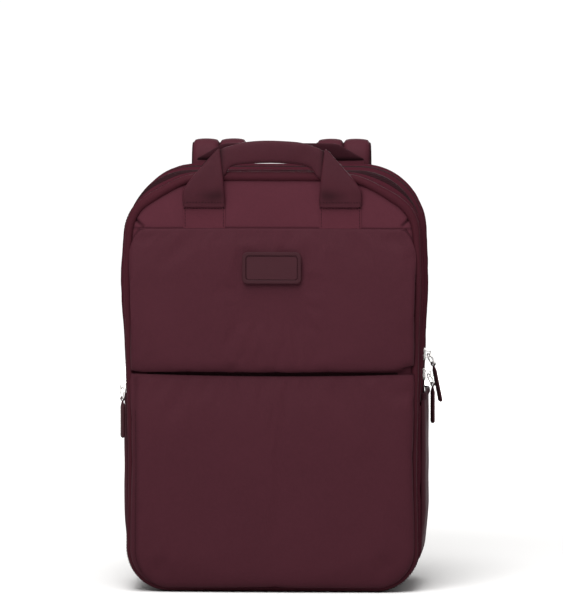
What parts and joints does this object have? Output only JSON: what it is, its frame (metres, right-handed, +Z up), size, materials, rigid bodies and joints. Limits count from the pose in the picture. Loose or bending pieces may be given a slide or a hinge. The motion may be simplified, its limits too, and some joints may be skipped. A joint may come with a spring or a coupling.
{
  "type": "travel backpack",
  "caption": "Boxy dark red travel backpack with carry handles front and rear, two zipped compartments, front and side pockets, padded straps and a trolley sleeve.",
  "frame": {"origin": "centre of the flat base, on the surface it stands on", "axes": "+Z up through the pack, -Y out of the front face with the pockets, +Y towards the wearer's back, +X to the right seen from the front"},
  "size_m": [0.3177, 0.2185, 0.445],
  "materials": {
    "shell_fabric": "dark wine-red satin nylon twill",
    "pocket_fabric": "dark wine-red satin nylon twill, lightly padded",
    "strap_fabric": "dark wine-red nylon over foam, with a ribbed channel",
    "handle_webbing": "dark wine-red folded webbing, edge stitched",
    "piping": "dark wine-red rolled edge binding",
    "zip_tape": "dark coated zip tape",
    "back_mesh": "dark spacer mesh over foam",
    "lining": "grey plain-weave lining",
    "elastic": "dark woven elastic binding",
    "badge": "dark coated patch with a raised rim, left blank",
    "board": "semi-rigid board",
    "buckle_plastic": "dark moulded acetal",
    "slider_metal": "bright plated zinc",
    "dark_metal": "dark painted zinc",
    "pull_ribbon": "dark ribbed ribbon"
  },
  "bodies": {
    "pack": {"lower_gusset": "shell_fabric", "mid_gusset": "shell_fabric", "rear_gusset": "shell_fabric", "front_zip_rear_tape": "zip_tape", "front_zip_end_tapes": "zip_tape", "rear_zip_tapes": "zip_tape", "front_piping_lower": "piping", "rear_piping": "piping", "front_lower_panel": "shell_fabric", "lower_pocket": "pocket_fabric", "pocket_zip_tapes": "zip_tape", "rear_handle_tabs": "handle_webbing", "back_panel": "back_mesh", "back_board": "board", "main_lining": "lining", "laptop_divider": "lining", "base_board": "board", "organizer_pocket": "lining", "side_pocket_left": "pocket_fabric", "side_pocket_right": "pocket_fabric", "side_pocket_hem_left": "elastic", "side_pocket_hem_right": "elastic", "trolley_sleeve": "shell_fabric", "strap_yoke": "shell_fabric", "strap_root_left": "strap_fabric", "strap_root_right": "strap_fabric", "lower_webbing_left": "handle_webbing", "lower_webbing_right": "handle_webbing", "anchor_tab_left": "shell_fabric", "anchor_tab_right": "shell_fabric", "low_slider": "slider_metal", "low_ring": "slider_metal", "low_tab": "pull_ribbon"},
    "front_flap": {"front_gusset": "shell_fabric", "front_zip_front_tape": "zip_tape", "front_piping_upper": "piping", "front_upper_panel": "shell_fabric", "upper_pocket": "pocket_fabric", "badge_frame": "badge", "badge_plate": "badge", "front_handle_tabs": "handle_webbing"},
    "front_handle": {"front_handle": "handle_webbing"},
    "rear_handle": {"rear_handle": "handle_webbing"},
    "strap_left": {"strap_pad_left": "strap_fabric", "lock_loop_left": "handle_webbing"},
    "strap_right": {"strap_pad_right": "strap_fabric", "lock_loop_right": "handle_webbing"},
    "adjuster_left": {"ladder_lock_left": "buckle_plastic", "strap_tail_left": "handle_webbing"},
    "adjuster_right": {"ladder_lock_right": "buckle_plastic", "strap_tail_right": "handle_webbing"},
    "front_slider": {"front_slider": "slider_metal"},
    "front_ring": {"front_ring": "slider_metal"},
    "front_tab": {"front_tab": "pull_ribbon"},
    "rear_slider": {"rear_slider": "slider_metal"},
    "rear_ring": {"rear_ring": "slider_metal"},
    "rear_tab": {"rear_tab": "pull_ribbon"},
    "pocket_slider": {"pocket_slider": "dark_metal"},
    "pocket_pull": {"pocket_pull": "dark_metal"}
  },
  "joints": [
    {"name": "flap_fold", "type": "hinge", "parent": "pack", "child": "front_flap", "pos_m": [0, -0.0896, 0.2175], "axis": [1, 0, 0], "range_deg": [0, 75]},
    {"name": "front_handle_fold", "type": "hinge", "parent": "front_flap", "child": "front_handle", "pos_m": [0, -0.0826, 0.38], "axis": [1, 0, 0], "range_deg": [0, 150]},
    {"name": "rear_handle_fold", "type": "hinge", "parent": "pack", "child": "rear_handle", "pos_m": [0, 0.0762, 0.417], "axis": [1, 0, 0], "range_deg": [0, 80]},
    {"name": "strap_left_swing", "type": "hinge", "parent": "pack", "child": "strap_left", "pos_m": [-0.062, 0.1052, 0.4385], "axis": [1, 0, 0], "range_deg": [0, 40]},
    {"name": "adjuster_left_swing", "type": "hinge", "parent": "strap_left", "child": "adjuster_left", "pos_m": [-0.062, 0.106, 0.11], "axis": [1, 0, 0], "range_deg": [0, 35]},
    {"name": "strap_right_swing", "type": "hinge", "parent": "pack", "child": "strap_right", "pos_m": [0.062, 0.1052, 0.4385], "axis": [1, 0, 0], "range_deg": [0, 40]},
    {"name": "adjuster_right_swing", "type": "hinge", "parent": "strap_right", "child": "adjuster_right", "pos_m": [0.062, 0.106, 0.11], "axis": [1, 0, 0], "range_deg": [0, 35]},
    {"name": "front_zip_slide", "type": "slide", "parent": "pack", "child": "front_slider", "axis": [0, 0, 1], "range_m": [0, 0.145]},
    {"name": "front_ring_swing", "type": "hinge", "parent": "front_slider", "child": "front_ring", "pos_m": [-0.1499, -0.045, 0.199], "axis": [-0.4067, 0.9135, 0], "range_deg": [0, 90]},
    {"name": "front_tab_swing", "type": "hinge", "parent": "front_ring", "child": "front_tab", "pos_m": [-0.1499, -0.045, 0.1876], "axis": [-0.4067, 0.9135, 0], "range_deg": [0, 60]},
    {"name": "rear_zip_slide", "type": "slide", "parent": "pack", "child": "rear_slider", "axis": [0, 0, 1], "range_m": [0, 0.118]},
    {"name": "rear_ring_swing", "type": "hinge", "parent": "rear_slider", "child": "rear_ring", "pos_m": [0.1499, 0.025, 0.228], "axis": [0.4067, -0.9135, 0], "range_deg": [0, 60]},
    {"name": "rear_tab_swing", "type": "hinge", "parent": "rear_ring", "child": "rear_tab", "pos_m": [0.15463, 0.02711, 0.21784], "axis": [0.4067, -0.9135, 0], "range_deg": [0, 60]},
    {"name": "pocket_zip_slide", "type": "slide", "parent": "pack", "child": "pocket_slider", "axis": [1, 0, 0], "range_m": [0, 0.205]},
    {"name": "pocket_pull_swing", "type": "hinge", "parent": "pocket_slider", "child": "pocket_pull", "pos_m": [-0.1041, -0.08, 0.2122], "axis": [0, 0, -1], "range_deg": [0, 80]}
  ]
}
